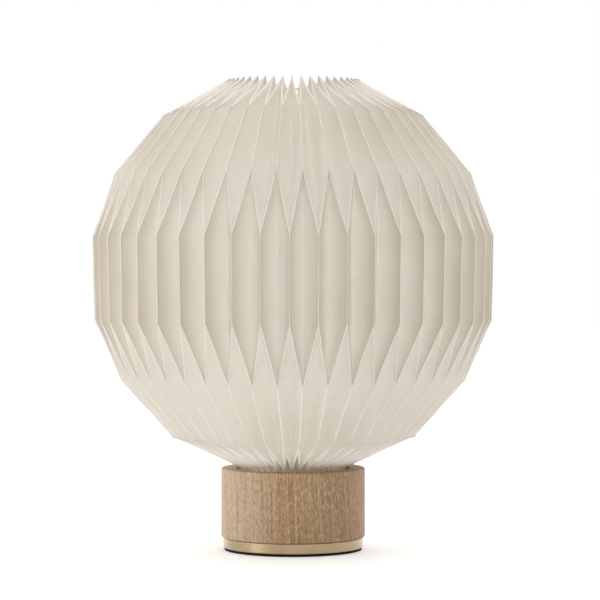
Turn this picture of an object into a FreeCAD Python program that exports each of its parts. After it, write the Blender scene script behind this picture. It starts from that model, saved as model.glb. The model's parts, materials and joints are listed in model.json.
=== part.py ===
import FreeCAD, Part
import math
import os

import Sketcher
from FreeCAD import Vector

# Pleated table lamp: a folded plastic globe on a turned oak base with a brass ring.
# Millimetres, +Z up, the origin at the middle of the face that the lamp stands on. The front faces -Y.

SIZES = [
    # The folded shade, as the middle of its sheet
    ("pleat_count", "46", "pleats round the shade"),
    ("front_turn", "1.0", "degrees from the front to the nearest ridge"),
    ("sheet_thickness", "0.4", "thickness of the plastic sheet"),
    ("belt_radius", "159.6", "radius of the ridges at the top of the belt"),
    ("belt_taper", "1.5", "how much narrower the belt is at its lower end"),
    ("belt_height", "65.9", "height of the ridges of the belt"),
    ("shoulder_top_inset", "17.8", "depth of the upper shoulder behind the belt"),
    ("shoulder_top_rise", "50.4", "height of the upper shoulder over the belt"),
    ("collar_top_inset", "38.4", "depth of the upper collar behind its shoulder"),
    ("collar_top_rise", "44.9", "height of the upper collar over its shoulder"),
    ("rim_top_radius", "52.1", "radius of the upper rim's points"),
    ("rim_top_rise", "29.2", "height of the upper rim's points over the collar"),
    ("notch_top_inset", "3.0", "depth of the upper rim's notches behind its points"),
    ("notch_top_drop", "19.8", "depth of the upper rim's notches under its points"),
    ("shoulder_low_inset", "20.9", "depth of the lower shoulder behind the belt"),
    ("shoulder_low_drop", "48.5", "drop from the belt to the lower shoulder"),
    ("collar_low_inset", "40.2", "depth of the lower collar behind its shoulder"),
    ("collar_low_drop", "42.6", "drop from the lower shoulder to its collar"),
    ("rim_low_radius", "40.6", "radius of the lower rim's points"),
    ("rim_low_drop", "27.7", "drop from the lower collar to the rim's points"),
    ("notch_low_inset", "2.5", "depth of the lower rim's notches behind its points"),
    ("notch_low_rise", "20.5", "height of the lower rim's notches over its points"),
    ("gather_wire_radius", "0.6", "radius of the rings that hold the folds together"),
    ("gather_inset", "3.5", "distance of those rings behind the rims"),
    ("gather_clearance", "0.3", "play of those rings in their holes"),
    ("gather_hole_sides", "6", "sides of those holes"),
    # Clearances
    ("fit_clearance", "0.3", "play between pieces that slip into each other"),
    ("thread_clearance", "0.1", "play between a screw and what it is screwed into"),
    ("seat_gap", "0.2", "gap between the shade's points and their seat"),
    # Base
    ("foot_height", "2.0", "height of the rubber foot"),
    ("foot_inset", "1.0", "how far the foot stays behind the brass"),
    ("foot_width", "6.2", "width of the foot's ring"),
    ("brass_height", "8.3", "height of the brass ring that shows"),
    ("brass_inset", "1.5", "how far the brass stays behind the wood"),
    ("brass_chamfer", "0.6", "chamfer on the brass ring's outer edges"),
    ("brass_ledge", "4.0", "width of the ledge over the base plate"),
    ("spigot_height", "2.5", "height of the brass spigot inside the wood"),
    ("wood_height", "55.0", "height of the oak cylinder"),
    ("wood_rim", "12.4", "width of the oak round the recess"),
    ("wood_wall", "9.5", "wall of the oak round the pocket"),
    ("wood_roof", "16.0", "oak between the pocket and the recess"),
    ("wood_round", "0.8", "rounding of the oak's edges"),
    ("recess_depth", "2.3", "depth of the recess on top"),
    ("plate_thickness", "2.0", "thickness of the base plate"),
    ("plate_recess", "1.0", "height of the base plate over the underside of the brass"),
    ("wiring_space", "19.8", "height between the base plate and the ballast"),
    ("ballast_clearance", "0.5", "play round the ballast"),
    ("leg_circle", "34.0", "radius of the circle of the ballast's legs"),
    ("leg_radius", "6.0", "radius of a leg"),
    ("leg_count", "3", "legs of the ballast and screws of the base plate"),
    ("screw_radius", "2.0", "radius of a base screw"),
    ("screw_head_radius", "3.8", "radius of a base screw's head"),
    ("screw_grip", "12.0", "length of a base screw inside its leg"),
    ("bush_bore_radius", "3.3", "radius of the hole for the cord"),
    ("bush_wall", "2.0", "wall of the cord bush"),
    ("bush_flange", "2.3", "width of the bush's flange"),
    ("bush_flange_thickness", "1.6", "thickness of the bush's flange"),
    ("bush_margin", "2.5", "oak between the brass and the bush's flange"),
    ("bush_sink", "2.0", "depth of the flat that takes the bush's flange"),
    # Threaded tube and its nuts
    ("nipple_radius", "5.0", "radius of the threaded tube"),
    ("nipple_bore_radius", "3.6", "radius of the tube's bore"),
    ("nipple_end", "1.5", "length of the tube past the lower nut"),
    ("nipple_grip", "8.0", "length of the tube inside the lampholder"),
    ("washer_radius", "10.5", "radius of the washers"),
    ("washer_thickness", "1.2", "thickness of the washers"),
    ("nut_radius", "8.1", "radius of the nuts over their corners"),
    ("nut_height", "5.0", "height of the nuts"),
    # Shade carrier
    ("carrier_thickness", "0.5", "thickness of the carrier's plate"),
    ("carrier_margin", "1.4", "width of the carrier outside the shade's points"),
    ("carrier_side_gap", "3.1", "gap between the carrier and the wall of the recess"),
    ("carrier_wall", "0.5", "wall of the carrier's collar"),
    ("carrier_gap", "0.9", "gap between the carrier's collar and the shade"),
    ("carrier_collar_height", "17.0", "height of the carrier's collar"),
    # Lampholder
    ("holder_radius", "19.5", "radius of the lampholder"),
    ("holder_wall", "2.0", "wall of the lampholder"),
    ("entry_radius", "9.5", "radius of the threaded entry"),
    ("entry_height", "5.0", "height of the threaded entry"),
    ("holder_floor", "7.0", "depth of the lampholder's floor over the entry's end"),
    ("cone_height", "7.0", "height of the cone over the entry"),
    ("skirt_height", "9.0", "height of the cap over the cone"),
    ("holder_spigot", "5.0", "height of the cap's spigot inside the sleeve"),
    ("ledge_width", "2.3", "width of the ledge under the insert"),
    ("ledge_drop", "6.0", "depth of that ledge under the seam"),
    ("insert_height", "11.5", "height of the ceramic insert"),
    ("lock_screw_radius", "1.5", "radius of the screw that locks the entry"),
    ("lock_screw_end", "0.4", "length of that screw outside the entry"),
    ("terminal_offset", "9.0", "distance of a terminal screw from the axis"),
    ("terminal_radius", "1.5", "radius of a terminal screw"),
    ("terminal_head_radius", "2.8", "radius of a terminal screw's head"),
    ("terminal_head_height", "2.2", "height of a terminal screw's head"),
    ("terminal_length", "8.0", "length of a terminal screw inside the insert"),
    ("terminal_count", "2", "terminal screws"),
    ("shell_wall", "0.5", "thickness of the screw shell"),
    ("shell_height", "21.0", "height of the screw shell"),
    ("shell_hole_radius", "7.5", "radius of the hole in the shell's floor"),
    ("sleeve_step", "2.0", "thickness of the sleeve's inner ledge and lip"),
    ("sleeve_lip", "3.5", "height of the sleeve over the screw shell"),
    ("contact_width", "6.0", "width of the centre contact"),
    ("contact_thickness", "0.5", "thickness of the centre contact"),
    ("contact_rise", "1.9", "rise of the contact's tongue"),
    ("contact_foot", "3.4", "length of the contact's foot"),
    ("contact_reach", "4.0", "length of the contact's tongue past the axis"),
    # Bulb
    ("tip_radius", "4.6", "radius of the bulb's tip"),
    ("tip_height", "1.6", "height of the bulb's tip"),
    ("insulator_radius", "11.2", "radius of the insulator at the cap"),
    ("insulator_height", "3.6", "height of the insulator"),
    ("cap_radius", "13.0", "radius of the bulb cap over its thread"),
    ("cap_wall", "0.4", "wall of the bulb cap"),
    ("cap_height", "23.0", "height of the bulb cap"),
    ("thread_depth", "0.8", "depth of the bulb cap's thread"),
    ("thread_pitch", "3.6", "pitch of the bulb cap's thread"),
    ("thread_turns", "4", "turns of the bulb cap's thread"),
    ("housing_radius", "28.2", "radius of the bulb's housing at the dome"),
    ("housing_height", "38.6", "height of the bulb's housing"),
    ("housing_flare", "75.0", "radius of the housing's curved side"),
    ("housing_wall", "1.6", "wall of the bulb's housing"),
    ("dome_bulge", "1.8", "how much wider the bulb's dome is than the housing"),
    ("dome_wall", "1.2", "wall of the bulb's dome"),
    ("board_thickness", "1.6", "thickness of the lamp's board"),
    ("board_ledge", "2.0", "width of the ledge under the board"),
    ("chip_count", "12", "light chips on the board"),
    ("chip_side", "2.8", "side of a light chip"),
    ("chip_height", "0.7", "height of a light chip"),
    ("chip_circle", "18.0", "radius of the circle of the light chips"),
]

doc = FreeCAD.newDocument("pleated_table_lamp")
sheet = doc.addObject("Spreadsheet::Sheet", "Sizes")
for row, (alias, number, meaning) in enumerate(SIZES, start=1):
    sheet.set(f"A{row}", alias)
    sheet.set(f"B{row}", number)
    sheet.set(f"C{row}", meaning)
    sheet.setAlias(f"B{row}", alias)
doc.recompute()


class Size:
    """A length with its number and the expression that ties it to the sheet."""

    def __init__(self, number, text):
        self.number = number
        self.text = text

    def __add__(self, other):
        return Size(self.number + other.number, f"{self.text} + {other.text}")

    def __sub__(self, other):
        return Size(self.number - other.number, f"{self.text} - ({other.text})")

    def __mul__(self, factor):
        return Size(self.number * factor, f"({self.text}) * {factor}")

    def __truediv__(self, divisor):
        return Size(self.number / divisor, f"({self.text}) / {divisor}")

    def __neg__(self):
        return Size(-self.number, f"0 - ({self.text})")


def size(alias):
    return Size(float(sheet.get(alias)), f"Sizes.{alias}")


def count(alias):
    return int(sheet.get(alias))


ZERO = Size(0.0, "0")
FULL_TURN = 360.0
subparts = []


# Building blocks


def keep(piece, label):
    piece.Label = label
    subparts.append(piece)
    return piece


def new_body(name):
    return doc.addObject("PartDesign::Body", f"{name}_body")


def origin_feature(body, role):
    return next(feature for feature in body.Origin.OriginFeatures if feature.Role == role)


def tie_point(sketch, item, end, place):
    """Ties one end of a sketch item to its distances from the sketch's origin."""
    root, root_point, across_axis, up_axis = -1, 1, -1, -2
    ties = (("DistanceX", place[0], up_axis), ("DistanceY", place[1], across_axis))
    for kind, distance, axis in ties:
        if distance.number == 0:
            sketch.addConstraint(Sketcher.Constraint("PointOnObject", item, end, axis))
            continue
        tie = Sketcher.Constraint(kind, root, root_point, item, end, distance.number)
        index = sketch.addConstraint(tie)
        sketch.setExpression(f"Constraints[{index}]", distance.text)


def arc_between(start, end, radius, turn):
    """The arc from start to end. It turns left for turn 1 and right for turn -1."""
    chord = end - start
    left = Vector(-chord.y, chord.x, 0).normalize()
    rise = math.sqrt(radius**2 - (chord.Length / 2) ** 2)
    centre = (start + end) / 2 + left * rise * turn
    first, last = (start, end) if turn > 0 else (end, start)
    angles = [math.atan2(point.y - centre.y, point.x - centre.x) for point in (first, last)]
    return Part.ArcOfCircle(Part.Circle(centre, Vector(0, 0, 1), radius), *angles)


def closed_outline(body, name, role, corners, arcs=None):
    """A sketch of a closed outline. arcs maps a corner to the (radius, turn) of the side after it."""
    arcs = arcs or {}
    sketch = body.newObject("Sketcher::SketchObject", name)
    sketch.AttachmentSupport = (origin_feature(body, role), [""])
    sketch.MapMode = "FlatFace"
    points = [Vector(across.number, up.number, 0) for across, up in corners]
    starts, ends = [], []
    for index, start in enumerate(points):
        end = points[(index + 1) % len(points)]
        if index in arcs:
            radius, turn = arcs[index]
            item = sketch.addGeometry(arc_between(start, end, radius.number, turn), False)
            tie = sketch.addConstraint(Sketcher.Constraint("Radius", item, radius.number))
            sketch.setExpression(f"Constraints[{tie}]", radius.text)
        else:
            turn = 1
            item = sketch.addGeometry(Part.LineSegment(start, end), False)
        starts.append((item, 1 if turn > 0 else 2))
        ends.append((item, 2 if turn > 0 else 1))
    for index, corner in enumerate(corners):
        sketch.addConstraint(Sketcher.Constraint("Coincident", *ends[index - 1], *starts[index]))
        tie_point(sketch, *starts[index], corner)
    return sketch


def add_axis(sketch, start, end):
    """A construction line in the sketch, to turn its outline about."""
    line = Part.LineSegment(*(Vector(across.number, up.number, 0) for across, up in (start, end)))
    item = sketch.addGeometry(line, True)
    tie_point(sketch, item, 1, start)
    tie_point(sketch, item, 2, end)
    return (sketch, ["Axis0"])


def turn_outline(body, kind, name, corners, arcs=None, role="XZ_Plane", axis=None):
    """Turns a closed outline about the body's Z axis, or about the line between the two points of axis."""
    sketch = closed_outline(body, f"{name}_outline", role, corners, arcs)
    feature = body.newObject(f"PartDesign::{kind}", name)
    feature.Profile = sketch
    feature.ReferenceAxis = add_axis(sketch, *axis) if axis else (sketch, ["V_Axis"])
    feature.Angle = FULL_TURN
    return feature


def repeat_round(body, name, original, alias):
    pattern = body.newObject("PartDesign::PolarPattern", name)
    pattern.Originals = [original]
    pattern.Axis = (origin_feature(body, "Z_Axis"), [""])
    pattern.Angle = FULL_TURN
    pattern.setExpression("Occurrences", f"Sizes.{alias}")
    body.Tip = pattern
    return pattern


def turned(label, corners, arcs=None):
    """A sub-part that is turned about the lamp's axis."""
    body = new_body(label)
    turn_outline(body, "Revolution", f"{label}_turned", corners, arcs)
    return keep(body, label)


def cut_checked(body, make_cut):
    """Runs make_cut and stops if it took no material away."""
    doc.recompute()
    before = body.Shape.Volume
    make_cut()
    doc.recompute()
    if body.Shape.Volume >= before:
        raise RuntimeError(f"a cut in {body.Label} removed nothing")


def upright_block(across_inner, across_outer, bottom, top):
    """The corners of an upright rectangle."""
    return [(across_inner, bottom), (across_outer, bottom), (across_outer, top), (across_inner, top)]


def bored_disc(label, bore, radius, bottom, top):
    return turned(label, upright_block(bore, radius, bottom, top))


# Levels and radii that several pieces share

clearance = size("fit_clearance")
thread_play = size("thread_clearance")

foot_top = size("foot_height")
brass_top = foot_top + size("brass_height")
wood_top = brass_top + size("wood_height")
recess_floor = wood_top - size("recess_depth")
pocket_roof = recess_floor - size("wood_roof")
plate_bottom = foot_top + size("plate_recess")
plate_top = plate_bottom + size("plate_thickness")
ballast_bottom = plate_top + size("wiring_space")
spigot_top = brass_top + size("spigot_height")

carrier_radius = size("rim_low_radius") + size("carrier_margin")
recess_radius = carrier_radius + size("carrier_side_gap")
wood_radius = recess_radius + size("wood_rim")
pocket_radius = wood_radius - size("wood_wall")
brass_radius = wood_radius - size("brass_inset")
plate_radius = pocket_radius - clearance
foot_radius = brass_radius - size("foot_inset")

nipple_hole = size("nipple_radius") + clearance
lower_washer_bottom = ballast_bottom - size("washer_thickness")
lower_nut_bottom = lower_washer_bottom - size("nut_height")
carrier_top = recess_floor + size("carrier_thickness")
upper_washer_top = carrier_top + size("washer_thickness")
holder_bottom = upper_washer_top + size("nut_height")

entry_top = holder_bottom + size("entry_height")
cone_top = entry_top + size("cone_height")
seam = cone_top + size("skirt_height")
ledge = seam - size("ledge_drop")
insert_top = ledge + size("insert_height")
spigot_radius = size("holder_radius") - size("holder_wall")
insert_hole = spigot_radius - size("holder_wall")
insert_radius = insert_hole - clearance
shell_inner = size("cap_radius") + clearance
shell_outer = shell_inner + size("shell_wall")
shell_top = insert_top + size("shell_height")
sleeve_top = shell_top + size("sleeve_lip")
contact_top = insert_top + size("contact_thickness") + size("contact_rise")

tip_bottom = contact_top + size("seat_gap")
tip_top = tip_bottom + size("tip_height")
insulator_top = tip_top + size("insulator_height")
cap_top = insulator_top + size("cap_height")
dome_bottom = cap_top + size("housing_height")
housing_foot = size("cap_radius") + size("housing_wall")
board_bottom = dome_bottom - size("board_thickness")


# Shade

RIDGE, VALLEY = 0, 1


def fold_points():
    """Each corner of half a pleat as (radius, height over the lower rim's points, plane)."""
    belt_low = size("belt_radius") - size("belt_taper")
    shoulder_low = belt_low - size("shoulder_low_inset")
    shoulder_top = size("belt_radius") - size("shoulder_top_inset")
    rim_low_level = ZERO
    collar_low_level = size("rim_low_drop")
    shoulder_low_level = collar_low_level + size("collar_low_drop")
    belt_low_level = shoulder_low_level + size("shoulder_low_drop")
    belt_top_level = belt_low_level + size("belt_height")
    shoulder_top_level = belt_top_level + size("shoulder_top_rise")
    collar_top_level = shoulder_top_level + size("collar_top_rise")
    rim_top_level = collar_top_level + size("rim_top_rise")
    notch_low = size("rim_low_radius") - size("notch_low_inset")
    notch_top = size("rim_top_radius") - size("notch_top_inset")
    return {
        "rim_low": (size("rim_low_radius"), rim_low_level, RIDGE),
        "notch_low": (notch_low, size("notch_low_rise"), VALLEY),
        "collar_low": (shoulder_low - size("collar_low_inset"), collar_low_level, VALLEY),
        "shoulder_low": (shoulder_low, shoulder_low_level, VALLEY),
        "belt_low": (belt_low, belt_low_level, RIDGE),
        "belt_top": (size("belt_radius"), belt_top_level, RIDGE),
        "shoulder_top": (shoulder_top, shoulder_top_level, VALLEY),
        "collar_top": (shoulder_top - size("collar_top_inset"), collar_top_level, VALLEY),
        "rim_top": (size("rim_top_radius"), rim_top_level, RIDGE),
        "notch_top": (notch_top, rim_top_level - size("notch_top_drop"), VALLEY),
    }


# The flat panels of half a pleat, counter-clockwise as seen from outside
PANELS = {
    "belt": ("belt_low", "shoulder_low", "shoulder_top", "belt_top"),
    "upper": ("belt_top", "shoulder_top", "collar_top", "rim_top"),
    "upper_gutter": ("rim_top", "collar_top", "notch_top"),
    "lower": ("belt_low", "rim_low", "collar_low", "shoulder_low"),
    "lower_gutter": ("collar_low", "rim_low", "notch_low"),
}
# The same corners along the two planes that bound half a pleat, and the collar that each notch folds from
RIDGE_CHAIN = ("rim_low", "belt_low", "belt_top", "rim_top")
VALLEY_CHAIN = ("notch_low", "collar_low", "shoulder_low", "shoulder_top", "collar_top", "notch_top")
NOTCH_FOLDS = {"notch_low": "collar_low", "notch_top": "collar_top"}
RIM_EDGES = (("notch_low", "rim_low"), ("rim_top", "notch_top"))


def outward(plane, half_pitch):
    return Vector(math.cos(plane * half_pitch), math.sin(plane * half_pitch), 0)


def fold_offset(name, points, places, half_pitch, half_thickness):
    """How far the sheet's outer face lies from its middle at a corner, within the corner's own plane."""
    radial = outward(points[name][2], half_pitch)
    rows = []
    for corners in PANELS.values():
        if name in corners:
            index = corners.index(name)
            ahead = places[corners[(index + 1) % len(corners)]] - places[name]
            behind = places[corners[index - 1]] - places[name]
            normal = ahead.cross(behind).normalize()
            rows.append((normal.dot(radial), normal.z, half_thickness))
    if name in NOTCH_FOLDS:
        along = (places[name] - places[NOTCH_FOLDS[name]]).normalize()
        rows.append((along.dot(radial), along.z, 0.0))
    (a, b, c), (d, e, f) = rows
    determinant = a * e - b * d
    return radial * ((c * e - b * f) / determinant) + Vector(0, 0, (a * f - c * d) / determinant)


def flat_faces(corners):
    """A flat triangle, or a four-sided panel as two flat triangles that meet on its diagonal."""
    first, second, third = corners[:3]
    triangles = [(first, second, third)]
    if len(corners) == 4:
        triangles.append((first, third, corners[3]))
    return [Part.Face(Part.makePolygon([*triangle, triangle[0]])) for triangle in triangles]


def half_pleat(points, half_pitch, half_thickness):
    """The closed solid of half a pleat, between its ridge plane and its valley plane."""
    places = {
        name: outward(plane, half_pitch) * radius.number + Vector(0, 0, level.number)
        for name, (radius, level, plane) in points.items()
    }
    outer, inner = {}, {}
    for name, place in places.items():
        offset = fold_offset(name, points, places, half_pitch, half_thickness)
        outer[name] = place + offset
        inner[name] = place - offset
    faces = []
    for side in (outer, inner):
        for corners in PANELS.values():
            faces += flat_faces([side[name] for name in corners])
    for first, second in RIM_EDGES:
        faces += flat_faces([outer[first], outer[second], inner[second], inner[first]])
    for chain in (RIDGE_CHAIN, VALLEY_CHAIN):
        loop = [outer[name] for name in chain] + [inner[name] for name in reversed(chain)]
        faces.append(Part.Face(Part.makePolygon([*loop, loop[0]])))
    return closed_solid(faces)


def closed_solid(faces):
    sewn = Part.makeCompound(faces)
    sewn.sewShape()
    solid = Part.Solid(sewn.Shells[0])
    if solid.Volume < 0:
        solid.reverse()
    return solid


def lies_on_plane(face, normal):
    flatness = 1e-6
    return all(abs(vertex.Point.dot(normal)) < flatness for vertex in face.Vertexes)


def gather_place(points, rim, notch):
    """Radius and height of the ring behind a rim."""
    radius = (points[rim][0] + points[notch][0]) / 2 + size("gather_inset")
    level = (points[rim][1] + points[notch][1]) / 2
    return radius, level


def gather_bar(radius, level, half_pitch):
    """A bar along a gather ring through half a pleat, as wide as the ring's hole."""
    sides = count("gather_hole_sides")
    hole_radius = size("gather_wire_radius") + size("gather_clearance")
    corner_radius = hole_radius.number / math.cos(math.pi / sides)
    start = outward(RIDGE, half_pitch) * radius.number + Vector(0, 0, level.number)
    end = outward(VALLEY, half_pitch) * radius.number + Vector(0, 0, level.number)
    corners = []
    for index in range(sides):
        angle = 2 * math.pi * index / sides
        corners.append(start + Vector(math.cos(angle), 0, math.sin(angle)) * corner_radius)
    return Part.Face(Part.makePolygon([*corners, corners[0]])).extrude(end - start)


def make_shade():
    points = fold_points()
    pleats = count("pleat_count")
    half_pitch = math.pi / pleats
    half = half_pleat(points, half_pitch, size("sheet_thickness").number / 2)
    gathers = {
        "bottom_gather_ring": gather_place(points, "rim_low", "notch_low"),
        "top_gather_ring": gather_place(points, "rim_top", "notch_top"),
    }
    for radius, level in gathers.values():
        half = half.cut(gather_bar(radius, level, half_pitch))
    across_ridge = Vector(0, 1, 0)
    across_valley = Vector(-math.sin(half_pitch), math.cos(half_pitch), 0)
    skin = [
        face
        for face in half.Faces
        if not lies_on_plane(face, across_ridge) and not lies_on_plane(face, across_valley)
    ]
    pleat = Part.makeCompound(skin + [face.mirror(Vector(), across_ridge) for face in skin])
    front = -FULL_TURN / 4 - size("front_turn").number
    faces = []
    for index in range(pleats):
        angle = front + FULL_TURN * index / pleats
        faces += pleat.rotated(Vector(), Vector(0, 0, 1), angle).Faces
    shape = closed_solid(faces)
    seat = carrier_top + size("seat_gap")
    shade = doc.addObject("Part::Feature", "pleated_shade_sheet")
    shade.Shape = shape
    shade.Placement.Base = Vector(0, 0, seat.number - shape.BoundBox.ZMin)
    keep(shade, "pleated_shade")
    for label, (radius, level) in gathers.items():
        ring = doc.addObject("Part::Torus", f"{label}_wire")
        ring.setExpression("Radius1", radius.text)
        ring.setExpression("Radius2", "Sizes.gather_wire_radius")
        ring.setExpression("Placement.Base.z", f"{shade.Name}.Placement.Base.z + ({level.text}) * 1 mm")
        keep(ring, label)


# Base


def make_foot_and_brass():
    foot_hole = foot_radius - size("foot_width")
    bored_disc("foot_ring", foot_hole, foot_radius, ZERO, foot_top)
    chamfer = size("brass_chamfer")
    plate_pocket = plate_radius + clearance
    ledge_radius = plate_pocket - size("brass_ledge")
    spigot = pocket_radius - clearance
    turned(
        "brass_ring",
        [
            (plate_pocket, foot_top),
            (brass_radius - chamfer, foot_top),
            (brass_radius, foot_top + chamfer),
            (brass_radius, brass_top - chamfer),
            (brass_radius - chamfer, brass_top),
            (spigot, brass_top),
            (spigot, spigot_top),
            (ledge_radius, spigot_top),
            (ledge_radius, plate_top),
            (plate_pocket, plate_top),
        ],
    )


def cord_axis():
    """Two points of the cord's axis in the YZ plane."""
    level = brass_top + size("bush_margin") + bush_flange_radius()
    return (pocket_radius, level), (wood_radius, level)


def bush_radius():
    return size("bush_bore_radius") + size("bush_wall")


def bush_flange_radius():
    return bush_radius() + size("bush_flange")


def make_wood():
    body = new_body("wood_base")
    turn_outline(
        body,
        "Revolution",
        "wood_turned",
        [
            (pocket_radius, brass_top),
            (wood_radius, brass_top),
            (wood_radius, wood_top),
            (recess_radius, wood_top),
            (recess_radius, recess_floor),
            (nipple_hole, recess_floor),
            (nipple_hole, pocket_roof),
            (pocket_radius, pocket_roof),
        ],
    )
    keep(body, "wood_base")
    axis = cord_axis()
    level = axis[0][1]
    hole = level + bush_radius() + thread_play
    flat = level + bush_flange_radius() + clearance
    flat_start = wood_radius - size("bush_sink")
    inside = pocket_radius - size("bush_wall")
    outside = wood_radius + size("bush_sink")
    corners = [
        (inside, level),
        (outside, level),
        (outside, flat),
        (flat_start, flat),
        (flat_start, hole),
        (inside, hole),
    ]
    cut_checked(body, lambda: turn_outline(body, "Groove", "cord_hole", corners, None, "YZ_Plane", axis))
    rims = [(wood_radius, wood_top), (recess_radius, wood_top), (wood_radius, brass_top)]
    round_rims(body, "wood_round", rims)


def round_rims(body, alias, rims):
    """Rounds the circular edges of a turned body that have these radii and levels."""
    near = 1e-4
    base = body.Tip
    names = []
    for index, edge in enumerate(body.Shape.Edges, start=1):
        if not isinstance(edge.Curve, Part.Circle):
            continue
        radius, level = edge.Curve.Radius, edge.Curve.Center.z
        for rim_radius, rim_level in rims:
            if abs(radius - rim_radius.number) < near and abs(level - rim_level.number) < near:
                names.append(f"Edge{index}")
    fillet = body.newObject("PartDesign::Fillet", f"{body.Label}_rounded")
    fillet.Base = (base, names)
    fillet.setExpression("Radius", f"Sizes.{alias}")
    body.Tip = fillet


def make_cord_bush():
    axis = cord_axis()
    level = axis[0][1]
    bore = level + size("bush_bore_radius")
    tube = level + bush_radius()
    flange = level + bush_flange_radius()
    flange_start = wood_radius - size("bush_sink")
    flange_end = flange_start + size("bush_flange_thickness")
    inner_end = pocket_radius + clearance
    body = new_body("cord_bush")
    corners = [
        (inner_end, bore),
        (flange_end, bore),
        (flange_end, flange),
        (flange_start, flange),
        (flange_start, tube),
        (inner_end, tube),
    ]
    turn_outline(body, "Revolution", "cord_bush_turned", corners, None, "YZ_Plane", axis)
    keep(body, "cord_bush")


def screw_axis():
    circle = size("leg_circle")
    return (circle, plate_bottom), (circle, plate_top)


def make_ballast():
    body = new_body("ballast")
    ballast_radius = pocket_radius - size("ballast_clearance")
    outline = upright_block(nipple_hole, ballast_radius, ballast_bottom, pocket_roof)
    turn_outline(body, "Revolution", "ballast_turned", outline)
    keep(body, "ballast")
    axis = screw_axis()
    circle = size("leg_circle")
    leg = upright_block(circle, circle + size("leg_radius"), plate_top, ballast_bottom)
    leg_feature = turn_outline(body, "Revolution", "leg", leg, None, "XZ_Plane", axis)
    repeat_round(body, "legs", leg_feature, "leg_count")
    hole_radius = size("screw_radius") + thread_play
    hole_top = plate_top + size("screw_grip") + clearance
    hole = upright_block(circle, circle + hole_radius, plate_top, hole_top)

    def drill():
        feature = turn_outline(body, "Groove", "leg_hole", hole, None, "XZ_Plane", axis)
        repeat_round(body, "leg_holes", feature, "leg_count")

    cut_checked(body, drill)


def screw_outline(play, top):
    """Half of a countersunk screw, or of its hole where play is more than zero."""
    circle = size("leg_circle")
    shank = circle + size("screw_radius") + play
    head = circle + size("screw_head_radius") + play
    neck = plate_bottom + size("screw_head_radius") - size("screw_radius")
    return [(circle, plate_bottom), (head, plate_bottom), (shank, neck), (shank, top), (circle, top)]


def make_base_plate():
    body = new_body("base_plate")
    outline = upright_block(ZERO, plate_radius, plate_bottom, plate_top)
    turn_outline(body, "Revolution", "base_plate_turned", outline)
    keep(body, "base_plate")

    def drill():
        hole = screw_outline(thread_play, plate_top)
        feature = turn_outline(body, "Groove", "plate_hole", hole, None, "XZ_Plane", screw_axis())
        repeat_round(body, "plate_holes", feature, "leg_count")

    cut_checked(body, drill)
    screws = new_body("base_screws")
    outline = screw_outline(ZERO, plate_top + size("screw_grip"))
    screw = turn_outline(screws, "Revolution", "base_screw", outline, None, "XZ_Plane", screw_axis())
    repeat_round(screws, "base_screw_circle", screw, "leg_count")
    keep(screws, "base_screws")


def make_nut(label, bottom):
    prism = doc.addObject("Part::Prism", f"{label}_prism")
    prism.Polygon = 6
    prism.setExpression("Circumradius", "Sizes.nut_radius")
    prism.setExpression("Height", "Sizes.nut_height")
    prism.setExpression("Placement.Base.z", bottom.text)
    hole = doc.addObject("Part::Cylinder", f"{label}_hole")
    hole.setExpression("Radius", (size("nipple_radius") + thread_play).text)
    hole.setExpression("Height", "Sizes.nut_height")
    hole.setExpression("Placement.Base.z", bottom.text)
    nut = doc.addObject("Part::Cut", f"{label}_cut")
    nut.Base = prism
    nut.Tool = hole
    keep(nut, label)


def make_tie():
    """The threaded tube with its washers and nuts."""
    nipple_bottom = lower_nut_bottom - size("nipple_end")
    nipple_top = holder_bottom + size("nipple_grip")
    bored_disc("nipple", size("nipple_bore_radius"), size("nipple_radius"), nipple_bottom, nipple_top)
    bored_disc("lower_washer", nipple_hole, size("washer_radius"), lower_washer_bottom, ballast_bottom)
    make_nut("lower_nut", lower_nut_bottom)
    bored_disc("upper_washer", nipple_hole, size("washer_radius"), carrier_top, upper_washer_top)
    make_nut("upper_nut", upper_washer_top)


def make_carrier():
    collar_radius = size("rim_low_radius") - size("notch_low_inset") - size("carrier_gap")
    collar_inner = collar_radius - size("carrier_wall")
    collar_top = carrier_top + size("carrier_collar_height")
    turned(
        "shade_carrier",
        [
            (nipple_hole, recess_floor),
            (carrier_radius, recess_floor),
            (carrier_radius, carrier_top),
            (collar_radius, carrier_top),
            (collar_radius, collar_top),
            (collar_inner, collar_top),
            (collar_inner, carrier_top),
            (nipple_hole, carrier_top),
        ],
    )


# Lampholder


def make_holder_cap():
    wall = size("holder_wall")
    radius = size("holder_radius")
    entry_hole = size("nipple_radius") + thread_play
    ledge_hole = insert_hole - size("ledge_width")
    floor = holder_bottom + size("holder_floor")
    body = new_body("holder_cap")
    turn_outline(
        body,
        "Revolution",
        "holder_cap_turned",
        [
            (entry_hole, holder_bottom),
            (size("entry_radius"), holder_bottom),
            (size("entry_radius"), entry_top),
            (radius, cone_top),
            (radius, seam),
            (spigot_radius, seam),
            (spigot_radius, seam + size("holder_spigot")),
            (insert_hole, seam + size("holder_spigot")),
            (insert_hole, ledge),
            (ledge_hole, ledge),
            (ledge_hole, cone_top),
            (size("entry_radius") - wall, floor),
            (entry_hole, floor),
        ],
    )
    keep(body, "holder_cap")
    level = holder_bottom + size("entry_height") / 2
    axis = (size("nipple_radius"), level), (size("entry_radius"), level)
    outside = size("entry_radius") + size("lock_screw_end")
    screw_side = level + size("lock_screw_radius")
    screw = upright_block(entry_hole, outside, level, screw_side)
    hole = upright_block(size("nipple_radius"), outside, level, screw_side + thread_play)
    cut_checked(body, lambda: turn_outline(body, "Groove", "lock_screw_hole", hole, None, "XZ_Plane", axis))
    lock = new_body("holder_lock_screw")
    turn_outline(lock, "Revolution", "lock_screw_turned", screw, None, "XZ_Plane", axis)
    keep(lock, "holder_lock_screw")


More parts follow.
